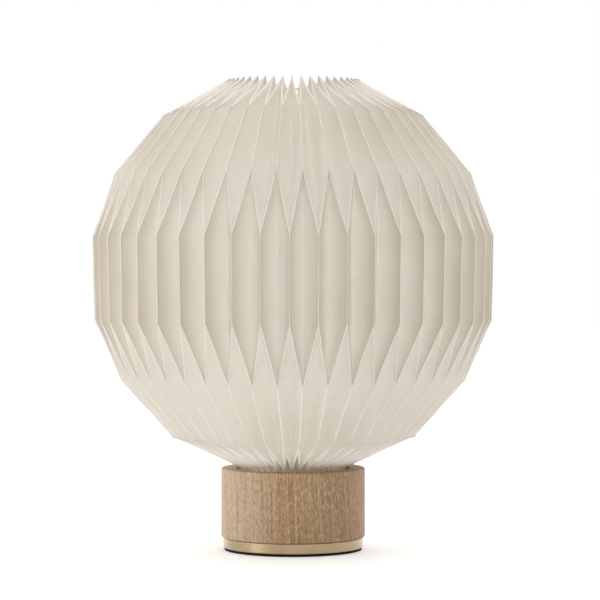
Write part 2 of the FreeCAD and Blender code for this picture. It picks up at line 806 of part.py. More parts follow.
def terminal_outline(top):
    """Half of a terminal screw, with its head under the insert."""
    offset = size("terminal_offset")
    shank = offset + size("terminal_radius")
    head = offset + size("terminal_head_radius")
    head_bottom = ledge - size("terminal_head_height")
    return [
        (offset, head_bottom),
        (head, head_bottom),
        (head, ledge),
        (shank, ledge),
        (shank, top),
        (offset, top),
    ]


def make_holder_insert():
    """The ceramic block with its two terminal screws."""
    body = new_body("holder_insert")
    block = upright_block(ZERO, insert_radius, ledge, insert_top)
    turn_outline(body, "Revolution", "holder_insert_turned", block)
    keep(body, "holder_insert")
    offset = size("terminal_offset")
    axis = (offset, ledge), (offset, insert_top)
    screw_end = ledge + size("terminal_length")
    hole_end = screw_end + clearance
    hole = upright_block(offset, offset + size("terminal_radius") + thread_play, ledge, hole_end)

    def drill():
        feature = turn_outline(body, "Groove", "terminal_hole", hole, None, "XZ_Plane", axis)
        repeat_round(body, "terminal_holes", feature, "terminal_count")

    cut_checked(body, drill)
    screws = new_body("terminal_screws")
    outline = terminal_outline(screw_end)
    screw = turn_outline(screws, "Revolution", "terminal_screw", outline, None, "XZ_Plane", axis)
    repeat_round(screws, "terminal_screw_pair", screw, "terminal_count")
    keep(screws, "terminal_screws")


def make_holder_shells():
    """The metal screw shell and the sleeve round it."""
    shell_floor = insert_top + size("shell_wall")
    hole = size("shell_hole_radius")
    turned(
        "screw_shell",
        [
            (hole, insert_top),
            (shell_outer, insert_top),
            (shell_outer, shell_top),
            (shell_inner, shell_top),
            (shell_inner, shell_floor),
            (hole, shell_floor),
        ],
    )
    radius = size("holder_radius")
    bore = spigot_radius + clearance
    mouth = shell_outer + clearance
    step = size("sleeve_step")
    turned(
        "holder_sleeve",
        [
            (bore, seam),
            (radius, seam),
            (radius, sleeve_top),
            (mouth, sleeve_top),
            (mouth, sleeve_top - step),
            (bore, sleeve_top - step),
            (bore, insert_top + step),
            (mouth, insert_top + step),
            (mouth, insert_top),
            (bore, insert_top),
        ],
    )


def make_centre_contact():
    """A bent brass tongue that stands on the insert."""
    thickness = size("contact_thickness")
    foot = size("contact_foot")
    reach = size("contact_reach")
    foot_top_level = insert_top + thickness
    tongue_bottom = contact_top - thickness
    bend = foot / 2
    body = new_body("centre_contact")
    corners = [
        (-foot - bend, insert_top),
        (-bend, insert_top),
        (reach, tongue_bottom),
        (reach, contact_top),
        (-bend, foot_top_level),
        (-foot - bend, foot_top_level),
    ]
    pad = body.newObject("PartDesign::Pad", "contact_strip")
    pad.Profile = closed_outline(body, "contact_outline", "XZ_Plane", corners)
    pad.Midplane = True
    pad.setExpression("Length", "Sizes.contact_width")
    keep(body, "centre_contact")


# Bulb


def make_bulb_cap():
    """Tip, insulator and threaded cap."""
    turned("bulb_tip", upright_block(ZERO, size("tip_radius"), tip_bottom, tip_top))
    turned(
        "bulb_insulator",
        [
            (ZERO, tip_top),
            (size("tip_radius"), tip_top),
            (size("insulator_radius"), insulator_top),
            (ZERO, insulator_top),
        ],
    )
    crest = size("cap_radius")
    root = crest - size("thread_depth")
    inner = root - size("cap_wall")
    quarter = size("thread_pitch") / 4
    corners = [(inner, insulator_top), (root, insulator_top)]
    for turn in range(count("thread_turns")):
        start = insulator_top + size("thread_pitch") * turn
        corners += [
            (root, start + quarter),
            (crest, start + quarter * 2),
            (crest, start + quarter * 3),
            (root, start + quarter * 4),
        ]
    corners += [(root, cap_top), (inner, cap_top)]
    turned("bulb_cap", corners)


def make_bulb_body():
    """Housing, board with its chips, and dome."""
    wall = size("housing_wall")
    flare = size("housing_flare")
    radius = size("housing_radius")
    board_radius = radius - wall
    ledge_radius = board_radius - size("board_ledge")
    neck = size("cap_radius") - size("thread_depth")
    corners = [
        (neck, cap_top),
        (housing_foot, cap_top),
        (radius, dome_bottom),
        (board_radius, dome_bottom),
        (board_radius, board_bottom),
        (ledge_radius, board_bottom),
    ]
    turned("bulb_housing", corners, {1: (flare, -1), 5: (flare, 1)})
    turned("led_board", upright_block(ZERO, board_radius - thread_play, board_bottom, dome_bottom))
    make_chips()
    make_dome()


def make_chips():
    body = new_body("led_chips")
    side = size("chip_side")
    circle = size("chip_circle")
    half = side / 2
    chip_top = dome_bottom + size("chip_height")
    corners = upright_block(circle - half, circle + half, dome_bottom, chip_top)
    pad = body.newObject("PartDesign::Pad", "led_chip")
    pad.Profile = closed_outline(body, "led_chip_outline", "XZ_Plane", corners)
    pad.Midplane = True
    pad.setExpression("Length", "Sizes.chip_side")
    repeat_round(body, "led_chip_circle", pad, "chip_count")
    keep(body, "led_chips")


def third_side(longest, other):
    """The third side of a right triangle."""
    length = math.sqrt(longest.number**2 - other.number**2)
    return Size(length, f"sqrt(({longest.text})^2 - ({other.text})^2)")


def make_dome():
    """A ball's upper part, cut where it meets the housing."""
    foot = size("housing_radius")
    outer = foot + size("dome_bulge")
    inner = outer - size("dome_wall")
    rise = third_side(outer, foot)
    centre = dome_bottom + rise
    corners = [
        (third_side(inner, rise), dome_bottom),
        (foot, dome_bottom),
        (ZERO, centre + outer),
        (ZERO, centre + inner),
    ]
    turned("bulb_dome", corners, {1: (outer, 1), 3: (inner, -1)})


make_shade()
make_foot_and_brass()
make_wood()
make_cord_bush()
make_ballast()
make_base_plate()
make_tie()
make_carrier()
make_holder_cap()
make_holder_insert()
make_holder_shells()
make_centre_contact()
make_bulb_cap()
make_bulb_body()
doc.recompute()

for item in doc.Objects:
    if {"Invalid", "Error"} & set(item.State):
        raise RuntimeError(f"{item.Label} failed: {item.State}")
os.makedirs("parts", exist_ok=True)
for piece in subparts:
    if piece.Shape.isNull() or not piece.Shape.isValid():
        raise RuntimeError(f"{piece.Label} has no valid shape")
for piece in subparts:
    piece.Shape.exportStep(f"parts/{piece.Label}.step")
    box = piece.Shape.BoundBox
    print(f"{piece.Label}: {len(piece.Shape.Solids)} solid(s), {piece.Shape.Volume:.1f} mm3, "
          f"z {box.ZMin:.2f} to {box.ZMax:.2f}, {box.XLength:.1f} x {box.YLength:.1f}")
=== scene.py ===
import json
import math

import bmesh
import bpy
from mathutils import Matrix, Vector


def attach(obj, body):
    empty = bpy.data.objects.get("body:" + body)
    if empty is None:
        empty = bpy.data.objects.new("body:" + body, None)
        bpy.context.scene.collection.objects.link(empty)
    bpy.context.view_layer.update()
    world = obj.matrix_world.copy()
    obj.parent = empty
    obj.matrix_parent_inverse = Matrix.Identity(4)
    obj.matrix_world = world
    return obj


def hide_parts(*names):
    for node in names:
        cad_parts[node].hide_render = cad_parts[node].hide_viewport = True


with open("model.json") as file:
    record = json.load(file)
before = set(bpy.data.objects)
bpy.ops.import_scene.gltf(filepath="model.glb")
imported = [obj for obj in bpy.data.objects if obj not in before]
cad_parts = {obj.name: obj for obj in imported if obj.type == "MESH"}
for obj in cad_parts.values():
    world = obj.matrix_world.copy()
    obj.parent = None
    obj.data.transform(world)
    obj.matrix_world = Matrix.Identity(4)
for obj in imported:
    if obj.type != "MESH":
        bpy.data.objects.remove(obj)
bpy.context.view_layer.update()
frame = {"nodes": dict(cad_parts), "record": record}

# Pleated table lamp: a folded plastic globe on an oak base with a brass ring
# Metres, +Z up, front towards -Y

NODES = frame["nodes"]


# Node trees

EVEN = (1, 1, 1)
# The span that most of a noise lies in, and its middle as a vector
NOISE_LOW, NOISE_HIGH = 0.3, 0.7
NOISE_MIDDLE = (0.5, 0.5, 0.5)
# The places of a Mix node's colour sockets
MIX_FACTOR, MIX_FIRST, MIX_SECOND, MIX_RESULT = 0, 6, 7, 2


def srgb(red, green, blue):
    """A colour given as screen values from 0 to 255."""
    parts = [value / 255 for value in (red, green, blue)]
    linear = [part / 12.92 if part <= 0.04045 else ((part + 0.055) / 1.055) ** 2.4 for part in parts]
    return (*linear, 1.0)


def add(tree, kind, settings=None, inputs=None):
    """Adds a node. An input is a socket to link from, or a value."""
    node = tree.nodes.new(kind)
    for name, value in (settings or {}).items():
        setattr(node, name, value)
    for key, value in (inputs or {}).items():
        socket = node.inputs[key]
        if isinstance(value, bpy.types.NodeSocket):
            tree.links.new(value, socket)
        else:
            socket.default_value = value
    return node


def math_node(tree, operation, first, second=0.0, clamp=False):
    settings = {"operation": operation, "use_clamp": clamp}
    return add(tree, "ShaderNodeMath", settings, {0: first, 1: second}).outputs[0]


def total(tree, *shares):
    """The sum of (value, weight) pairs."""
    weighted = [math_node(tree, "MULTIPLY", value, weight) for value, weight in shares]
    result = weighted[0]
    for part in weighted[1:]:
        result = math_node(tree, "ADD", result, part)
    return result


def ramp(tree, factor, stops):
    """A colour ramp with stops of (position, colour)."""
    node = add(tree, "ShaderNodeValToRGB", None, {"Fac": factor})
    elements = node.color_ramp.elements
    for element, (position, colour) in zip(elements, (stops[0], stops[-1])):
        element.position = position
        element.color = colour
    for position, colour in stops[1:-1]:
        elements.new(position).color = colour
    return node.outputs["Color"]


def remap(tree, value, low, high, out_low, out_high):
    inputs = {"Value": value, "From Min": low, "From Max": high, "To Min": out_low, "To Max": out_high}
    return add(tree, "ShaderNodeMapRange", {"clamp": True}, inputs).outputs["Result"]


def spread(tree, value, low, high):
    """Takes the usual span of a noise to the span from low to high."""
    return remap(tree, value, NOISE_LOW, NOISE_HIGH, low, high)


def mix_colour(tree, factor, first, second):
    inputs = {MIX_FACTOR: factor, MIX_FIRST: first, MIX_SECOND: second}
    return add(tree, "ShaderNodeMix", {"data_type": "RGBA"}, inputs).outputs[MIX_RESULT]


def object_place(tree, scale=EVEN):
    """The place in the lamp's frame, stretched by scale."""
    place = add(tree, "ShaderNodeTexCoord").outputs["Object"]
    return add(tree, "ShaderNodeMapping", None, {"Vector": place, "Scale": scale}).outputs["Vector"]


def noise(tree, vector, scale, detail=2.0, roughness=0.5):
    inputs = {"Vector": vector, "Scale": scale, "Detail": detail, "Roughness": roughness}
    return add(tree, "ShaderNodeTexNoise", None, inputs).outputs["Fac"]


def bump(tree, height, distance, strength=1.0):
    inputs = {"Height": height, "Distance": distance, "Strength": strength}
    return add(tree, "ShaderNodeBump", None, inputs).outputs["Normal"]


def attribute(tree, name):
    return add(tree, "ShaderNodeAttribute", {"attribute_name": name}).outputs["Fac"]


def new_material(name):
    material = bpy.data.materials.new(name)
    material.use_nodes = True
    material.node_tree.nodes.clear()
    return material, material.node_tree


def to_output(tree, shader):
    add(tree, "ShaderNodeOutputMaterial", None, {"Surface": shader})


def surface(tree, inputs):
    return add(tree, "ShaderNodeBsdfPrincipled", None, inputs).outputs[0]


def let_through(tree, front, colour, share):
    """Adds the light that comes through a thin wall to the light on its front."""
    through = add(tree, "ShaderNodeBsdfTranslucent", None, {"Color": colour}).outputs[0]
    return add(tree, "ShaderNodeMixShader", None, {0: share, 1: front, 2: through}).outputs[0]


# Finishes

# The sheet's colour under full, half and no painted shade
SHEET_FULL_SHADE = (0.838, 0.808, 0.760, 1)
SHEET_HALF_SHADE = (0.942, 0.929, 0.903, 1)
SHEET_NO_SHADE = (0.990, 0.986, 0.977, 1)
SHEET_UNEVEN = 0.06
SHEET_THROUGH = 0.80
# The painted highlight along an outward fold, and the painted shade in a strip beside it
FOLD_HIGHLIGHT = (0.994, 0.989, 0.977, 1)
FOLD_SHADE = (0.66, 0.61, 0.53, 1)
FOLD_HIGHLIGHT_SHARE = 0.90
FOLD_SHADE_SHARE = 0.4


def sheet_material():
    """Ivory plastic sheet that lets light through, with painted shade towards the outward folds and a painted
    highlight along them.
    """
    material, tree = new_material("ivory_sheet")
    place = object_place(tree)
    cloud = noise(tree, place, scale=22.0, detail=3.0)
    fine = noise(tree, place, scale=1400.0)
    # The clear attribute carries painted shade: it is lower towards the outward folds, and the ramp makes the
    # sheet darker there
    clear = math_node(tree, "ADD", attribute(tree, "clear"), spread(tree, cloud, -SHEET_UNEVEN, SHEET_UNEVEN))
    body = ramp(tree, clear, [(0.0, SHEET_FULL_SHADE), (0.5, SHEET_HALF_SHADE), (1.0, SHEET_NO_SHADE)])
    # A strip of painted shade beside each outward fold, only where the sheet's painted shade is heavy
    ridge = attribute(tree, "ridge")
    rise = remap(tree, ridge, 0.0, 0.3, 0.0, FOLD_SHADE_SHARE)
    fall = remap(tree, ridge, 0.3, 0.6, 1.0, 0.0)
    heavy_shade = remap(tree, clear, 0.3, 0.8, 1.0, 0.0)
    beside = math_node(tree, "MULTIPLY", math_node(tree, "MULTIPLY", rise, fall), heavy_shade)
    body = mix_colour(tree, beside, body, FOLD_SHADE)
    # A painted highlight along each outward fold
    line = remap(tree, ridge, 0.50, 0.90, 0.0, FOLD_HIGHLIGHT_SHARE)
    colour = mix_colour(tree, line, body, FOLD_HIGHLIGHT)
    front = surface(tree, {
        "Base Color": colour,
        "Roughness": spread(tree, fine, 0.40, 0.50),
        "Specular IOR Level": 0.35,
        "Normal": bump(tree, fine, distance=0.00002, strength=0.4),
    })
    to_output(tree, let_through(tree, front, colour, SHEET_THROUGH))
    return material


# Where the middle of the growth rings lies beside the base, and how the rings lean and waver
PITH_X, PITH_Y = -0.16, -0.05
RING_LEAN = 0.04
RING_WAVER = 0.016
OAK_TONES = [(0.32, srgb(142, 108, 75)), (0.50, srgb(172, 138, 101)), (0.70, srgb(197, 168, 132))]
OAK_PAINTED_LIGHT = srgb(207, 187, 162)
OAK_PAINTED_SHADE = srgb(138, 102, 68)
OAK_FLECK = srgb(220, 198, 166)
OAK_PORE = srgb(110, 80, 54)


def oak_material():
    """Oak with upright fibres: uneven growth rings, short dark pores and pale flecks, matt oil, with painted
    light on its left side and painted shade on its right.
    """
    material, tree = new_material("oak")
    parts = add(tree, "ShaderNodeSeparateXYZ", None, {"Vector": object_place(tree)}).outputs
    waver = noise(tree, object_place(tree, (1, 1, 0.25)), scale=16.0, detail=3.0)
    across = math_node(tree, "POWER", math_node(tree, "SUBTRACT", parts["X"], PITH_X), 2.0)
    along = math_node(tree, "POWER", math_node(tree, "SUBTRACT", parts["Y"], PITH_Y), 2.0)
    distance = math_node(tree, "SQRT", math_node(tree, "ADD", across, along))
    ring = total(tree, (distance, 1.0), (waver, RING_WAVER), (parts["Z"], RING_LEAN))
    growth = add(tree, "ShaderNodeTexNoise", {"noise_dimensions": "1D"}, {
        "W": ring, "Scale": 420.0, "Detail": 2.0,
    })
    late = remap(tree, growth.outputs["Fac"], 0.35, 0.65, 0.0, 1.0)
    fibre = noise(tree, object_place(tree, (1, 1, 0.02)), scale=1700.0, detail=3.0, roughness=0.6)
    fleck = noise(tree, object_place(tree, (1, 1, 0.22)), scale=1250.0, roughness=0.55)
    broad = noise(tree, object_place(tree, (1, 1, 0.3)), scale=24.0)
    early = remap(tree, late, 0.0, 1.0, 1.0, 0.4)
    pores = math_node(tree, "MULTIPLY", remap(tree, fleck, 0.53, 0.64, 0.0, 1.0), early)
    body = ramp(tree, total(tree, (late, 0.16), (fibre, 0.52), (broad, 0.32)), OAK_TONES)
    # Painted light on the base's left side and painted shade on its right side
    body = mix_colour(tree, remap(tree, parts["X"], -0.052, -0.005, 0.5, 0.0), body, OAK_PAINTED_LIGHT)
    body = mix_colour(tree, remap(tree, parts["X"], 0.005, 0.05, 0.0, 0.6), body, OAK_PAINTED_SHADE)
    flecked = mix_colour(tree, remap(tree, fleck, 0.36, 0.47, 0.45, 0.0), body, OAK_FLECK)
    relief = math_node(tree, "SUBTRACT", math_node(tree, "MULTIPLY", fibre, 0.4), pores)
    to_output(tree, surface(tree, {
        "Base Color": mix_colour(tree, math_node(tree, "MULTIPLY", pores, 0.58), flecked, OAK_PORE),
        "Roughness": spread(tree, fibre, 0.44, 0.58),
        "Specular IOR Level": 0.45,
        "Normal": bump(tree, relief, distance=0.00006, strength=0.7),
    }))
    return material


BRASS_DARK = (0.33, 0.232, 0.120, 1)
BRASS_LIGHT = (0.38, 0.278, 0.155, 1)
BRASS_LINE = (0.52, 0.42, 0.27, 1)


def brass_material():
    """Satin brass, brushed round the ring, under a clear lacquer."""
    material, tree = new_material("satin_brass")
    lines = noise(tree, object_place(tree, (0.012, 0.012, 1)), scale=5200.0, detail=3.0, roughness=0.7)
    cloud = noise(tree, object_place(tree), scale=60.0, detail=3.0)
    body = ramp(tree, cloud, [(NOISE_LOW, BRASS_DARK), (NOISE_HIGH, BRASS_LIGHT)])
    to_output(tree, surface(tree, {
        "Base Color": mix_colour(tree, remap(tree, lines, 0.35, 0.65, 0.0, 0.25), body, BRASS_LINE),
        "Metallic": 1.0,
        "Roughness": spread(tree, lines, 0.24, 0.34),
        "Normal": bump(tree, lines, distance=0.00002, strength=0.5),
        "Coat Weight": 1.0,
        "Coat Roughness": 0.22,
    }))
    return material


OPAL_DARK = (0.86, 0.86, 0.84, 1)
OPAL_LIGHT = (0.90, 0.90, 0.885, 1)
OPAL_THROUGH = 0.35


def dome_material():
    """Opal plastic that spreads the light."""
    material, tree = new_material("opal_dome")
    fine = noise(tree, object_place(tree), scale=2500.0)
    cloud = noise(tree, object_place(tree), scale=30.0)
    colour = ramp(tree, cloud, [(NOISE_LOW, OPAL_DARK), (NOISE_HIGH, OPAL_LIGHT)])
    front = surface(tree, {
        "Base Color": colour,
        "Roughness": spread(tree, fine, 0.34, 0.44),
        "Normal": bump(tree, fine, distance=0.00001, strength=0.3),
    })
    to_output(tree, let_through(tree, front, colour, OPAL_THROUGH))
    return material


# How much larger the clouds of a plain finish are than its grain, and their shares in its colour
CLOUD_SIZE = 12
CLOUD_SHARE, GRAIN_SHARE = 0.6, 0.4


def plain_surface(name, light, dark, grain, roughness, height, metallic=0.0, stretch=EVEN, gloss=0.5):
    """A surface whose colour, roughness and fine relief follow a noise of the given scale."""
    material, tree = new_material(name)
    place = object_place(tree, stretch)
    cloud = noise(tree, place, grain / CLOUD_SIZE, detail=3.0)
    fine = noise(tree, place, grain, detail=4.0, roughness=0.6)
    tone = total(tree, (cloud, CLOUD_SHARE), (fine, GRAIN_SHARE))
    to_output(tree, surface(tree, {
        "Base Color": ramp(tree, tone, [(NOISE_LOW, dark), (NOISE_HIGH, light)]),
        "Roughness": spread(tree, fine, *roughness),
        "Metallic": metallic,
        "Specular IOR Level": gloss,
        "Normal": bump(tree, fine, height),
    }))
    return material


# Draws a grain out into lines round the lamp's axis
ROUND = (0.03, 0.03, 1)
PLAIN_FINISHES = {
    "gather_nylon": dict(
        light=(0.84, 0.82, 0.76, 1), dark=(0.76, 0.74, 0.68, 1),
        grain=900, roughness=(0.30, 0.42), height=0.00001),
    "black_rubber": dict(
        light=(0.010, 0.010, 0.011, 1), dark=(0.005, 0.005, 0.006, 1),
        grain=1800, roughness=(0.72, 0.86), height=0.00004, gloss=0.15),
    "zinc_steel": dict(
        light=(0.64, 0.65, 0.67, 1), dark=(0.52, 0.53, 0.54, 1),
        grain=1300, roughness=(0.28, 0.44), height=0.00001, metallic=1.0),
    "grey_iron": dict(
        light=(0.15, 0.15, 0.155, 1), dark=(0.07, 0.068, 0.066, 1),
        grain=700, roughness=(0.62, 0.82), height=0.00015, metallic=0.4),
    "white_carrier": dict(
        light=(0.84, 0.81, 0.75, 1), dark=(0.80, 0.77, 0.71, 1),
        grain=2600, roughness=(0.46, 0.60), height=0.00002),
    "black_plastic": dict(
        light=(0.030, 0.030, 0.031, 1), dark=(0.019, 0.019, 0.020, 1),
        grain=2200, roughness=(0.40, 0.54), height=0.00002),
    "white_holder": dict(
        light=(0.70, 0.70, 0.67, 1), dark=(0.66, 0.66, 0.63, 1),
        grain=1900, roughness=(0.34, 0.46), height=0.00001),
    "white_ceramic": dict(
        light=(0.80, 0.785, 0.75, 1), dark=(0.68, 0.66, 0.62, 1),
        grain=1200, roughness=(0.60, 0.78), height=0.00004),
    "contact_brass": dict(
        light=(0.74, 0.60, 0.33, 1), dark=(0.56, 0.42, 0.21, 1),
        grain=900, roughness=(0.30, 0.50), height=0.00001, metallic=1.0),
    "nickel": dict(
        light=(0.70, 0.69, 0.66, 1), dark=(0.60, 0.585, 0.55, 1),
        grain=1500, roughness=(0.18, 0.32), height=0.000006, metallic=1.0, stretch=ROUND),
    "white_housing": dict(
        light=(0.84, 0.84, 0.83, 1), dark=(0.80, 0.80, 0.785, 1),
        grain=1700, roughness=(0.26, 0.36), height=0.000008),
    "board_metal": dict(
        light=(0.82, 0.83, 0.83, 1), dark=(0.74, 0.75, 0.75, 1),
        grain=800, roughness=(0.40, 0.55), height=0.00001),
    "chip_yellow": dict(
        light=(0.86, 0.66, 0.12, 1), dark=(0.78, 0.56, 0.07, 1),
        grain=2400, roughness=(0.50, 0.66), height=0.00001),
    "cap_metal": dict(
        light=(0.76, 0.76, 0.77, 1), dark=(0.64, 0.64, 0.65, 1),
        grain=1500, roughness=(0.20, 0.34), height=0.000006, metallic=1.0, stretch=ROUND),
    "black_glaze": dict(
        light=(0.016, 0.016, 0.019, 1), dark=(0.008, 0.008, 0.010, 1),
        grain=700, roughness=(0.06, 0.14), height=0.000008),
    "solder": dict(
        light=(0.66, 0.66, 0.66, 1), dark=(0.46, 0.46, 0.47, 1),
        grain=600, roughness=(0.30, 0.52), height=0.00004, metallic=1.0),
}
MATERIALS = {
    "ivory_sheet": sheet_material(),
    "oak": oak_material(),
    "satin_brass": brass_material(),
    "opal_dome": dome_material(),
}
for finish_name, finish in PLAIN_FINISHES.items():
    MATERIALS[finish_name] = plain_surface(finish_name, **finish)

for subpart in frame["record"]["subparts"]:
    mesh = NODES[subpart["node"]].data
    mesh.materials.clear()
    mesh.materials.append(MATERIALS[subpart["material_slot"]])


# Shade

PLEATS = 46
FRONT_RIDGE = math.radians(-91.0)
HALF_PITCH = math.pi / PLEATS
SHEET_THICKNESS = 0.0004
# How far a fold's rounding and its painted highlight reach, and how far folds made by hand stray
FOLD_ROUND = 0.0010
FOLD_TONE = 0.0014
FOLD_STRAY = 0.0008
SHARP_FOLD = math.radians(30)
RIDGE, VALLEY = 0, 1
# The corners of half a pleat, on the outside of the sheet: radius, height and plane
CORNERS = {
    "rim_low": (0.0402, 0.0642, RIDGE),
    "belt_low": (0.1586, 0.1837, RIDGE),
    "belt_top": (0.1601, 0.2499, RIDGE),
    "rim_top": (0.0519, 0.3753, RIDGE),
    "notch_low": (0.0383, 0.0842, VALLEY),
    "collar_low": (0.0982, 0.0914, VALLEY),
    "shoulder_low": (0.1376, 0.1353, VALLEY),
    "shoulder_top": (0.1422, 0.3003, VALLEY),
    "collar_top": (0.1042, 0.3461, VALLEY),
    "notch_top": (0.0493, 0.3556, VALLEY),
}
# The panels of half a pleat. The first and last corners lie on the ridge's plane.
PANELS = {
    "lower_gutter": ("rim_low", "notch_low", "collar_low", "rim_low"),
    "lower": ("rim_low", "collar_low", "shoulder_low", "belt_low"),
    "belt": ("belt_low", "shoulder_low", "shoulder_top", "belt_top"),
    "upper": ("belt_top", "shoulder_top", "collar_top", "rim_top"),
    "upper_gutter": ("rim_top", "collar_top", "notch_top", "rim_top"),
}
# The folds between two panels of half a pleat, and those between a panel and its mirror image
ZIGZAGS = (
    ("rim_low", "collar_low", "lower_gutter", "lower"),
    ("belt_low", "shoulder_low", "lower", "belt"),
    ("belt_top", "shoulder_top", "belt", "upper"),
    ("rim_top", "collar_top", "upper", "upper_gutter"),
)
MIRRORED = (
    ("rim_low", "belt_low", "lower"),
    ("belt_low", "belt_top", "belt"),
    ("belt_top", "rim_top", "upper"),
    ("notch_low", "collar_low", "lower_gutter"),
    ("collar_low", "shoulder_low", "lower"),
    ("shoulder_low", "shoulder_top", "belt"),
    ("shoulder_top", "collar_top", "upper"),
    ("collar_top", "notch_top", "upper_gutter"),
)
# How much painted shade each panel gets at its outward fold
PAINTED_SHADE = {"lower_gutter": 0.0, "lower": 0.55, "belt": 1.00, "upper": 0.70, "upper_gutter": 0.8}
# How soon the belt's painted shade fades away from its pointed ends, and the lower panel's share of its
# painted shade at the rim
BELT_SHADE_FADE = 6
LOWER_RIM_SHADE = 0.6
# Where a panel is divided, closest beside its folds
ACROSS_STEPS = (0, 0.028, 0.07, 0.25, 0.5, 0.75, 0.93, 0.972, 1)
ALONG_STEPS = (0, 0.009, 0.025, 0.06, 0.2, 0.4, 0.6, 0.8, 0.94, 0.975, 0.991, 1)
SAME_POINT = 1e-6
NO_LENGTH = 1e-7
SEAM_GAP = 5e-6


def corner(name):
    radius, height, plane = CORNERS[name]
    angle = plane * HALF_PITCH
    return Vector((radius * math.cos(angle), radius * math.sin(angle), height))


def mirrored(vector, plane):
    across = Vector((-math.sin(plane * HALF_PITCH), math.cos(plane * HALF_PITCH), 0))
    return vector - across * (2 * vector.dot(across))


def panel_normal(panel):
    a, b, c, d = (corner(name) for name in PANELS[panel])
    return (c - a).cross(d - b).normalized()


def panel_middle(panel):
    corners = [corner(name) for name in PANELS[panel]]
    return sum(corners, Vector()) / len(corners)


def fold_line(start, end, first, second, beyond):
    """A fold between two panels, from their normals and a point on the second: (start, end, bulge, convex).

    The bulge points to the side that the rounding takes away.
    """
    convex = (beyond - start).dot(first) < 0
    bisector = (first + second).normalized()
    sine = math.sqrt(max(0.0, (1 - first.dot(second)) / 2))
    return start, end, bisector * (-sine if convex else sine), convex


def fold_lines():
    """All folds that reach a pleat."""
    folds = []
    for start, end, first, second in ZIGZAGS:
        line = corner(start), corner(end), panel_normal(first), panel_normal(second), panel_middle(second)
        folds.append(fold_line(*line))
        for plane in (RIDGE, VALLEY):
            folds.append(fold_line(*(mirrored(vector, plane) for vector in line)))
    for start, end, panel in MIRRORED:
        plane = CORNERS[start][2]
        normal = panel_normal(panel)
        beyond = mirrored(panel_middle(panel), plane)
        folds.append(fold_line(corner(start), corner(end), normal, mirrored(normal, plane), beyond))
    return folds


def distance_to(point, start, end):
    span = end - start
    share = min(1.0, max(0.0, (point - start).dot(span) / span.length_squared))
    return (point - start - span * share).length


def rounded(point, folds):
    """Where a point lies once the folds are rounded, and how near it is to an outward fold, from 0 to 1."""
    shift = Vector()
    nearest = FOLD_TONE
    for start, end, bulge, convex in folds:
        gap = distance_to(point, start, end)
        if gap < FOLD_ROUND:
            inward = bulge * ((FOLD_ROUND - gap) ** 2 / (2 * FOLD_ROUND))
            shift = max(shift, inward, key=lambda vector: vector.length)
        if convex:
            nearest = min(nearest, gap)
    return point + shift, 1 - nearest / FOLD_TONE


def shade_share(panel, across, along):
    """How much of its panel's painted shade a place gets, from 0 to 1, most near the panel's outward fold."""
    if panel == "belt":
        return 1 - across * min(1.0, BELT_SHADE_FADE * along * (1 - along))
    if panel == "lower":
        return across * (LOWER_RIM_SHADE + (1 - LOWER_RIM_SHADE) * along)
    if panel == "upper":
        return across
    return 1 - across


def pleat_mesh():
    """One pleat as a single sheet with rounded folds, with how near each point lies to an outward fold, and
    the painted shade at each point stored as how clear the sheet is.
    """
    folds = fold_lines()
    mesh = bmesh.new()
    ridge_layer = mesh.verts.layers.float.new("ridge")
    unshaded_layer = mesh.verts.layers.float.new("clear")
    for panel, names in PANELS.items():
        a, b, c, d = (corner(name) for name in names)
        for side in (1, -1):
            grid = []
            for along in ALONG_STEPS:
                row = []
                for across in ACROSS_STEPS:
                    flat = a.lerp(b, across).lerp(d.lerp(c, across), along)
                    point, ridge = rounded(flat, folds)
                    vertex = mesh.verts.new((point.x, point.y * side, point.z))
                    vertex[ridge_layer] = ridge
                    # Painted shade towards the panel's outward fold, stored as how clear the sheet is
                    vertex[unshaded_layer] = 1 - shade_share(panel, across, along) * PAINTED_SHADE[panel]
                    row.append(vertex)
                grid.append(row)
            for low, high in zip(grid, grid[1:]):
                for index in range(len(ACROSS_STEPS) - 1):
                    loop = [low[index], low[index + 1], high[index + 1], high[index]]
                    face = mesh.faces.new(loop if side > 0 else loop[::-1])
                    face.smooth = True
    bmesh.ops.remove_doubles(mesh, verts=mesh.verts, dist=SAME_POINT)
    bmesh.ops.dissolve_degenerate(mesh, edges=mesh.edges, dist=NO_LENGTH)
    data = bpy.data.meshes.new("pleat")
    mesh.to_mesh(data)
    mesh.free()
    return data


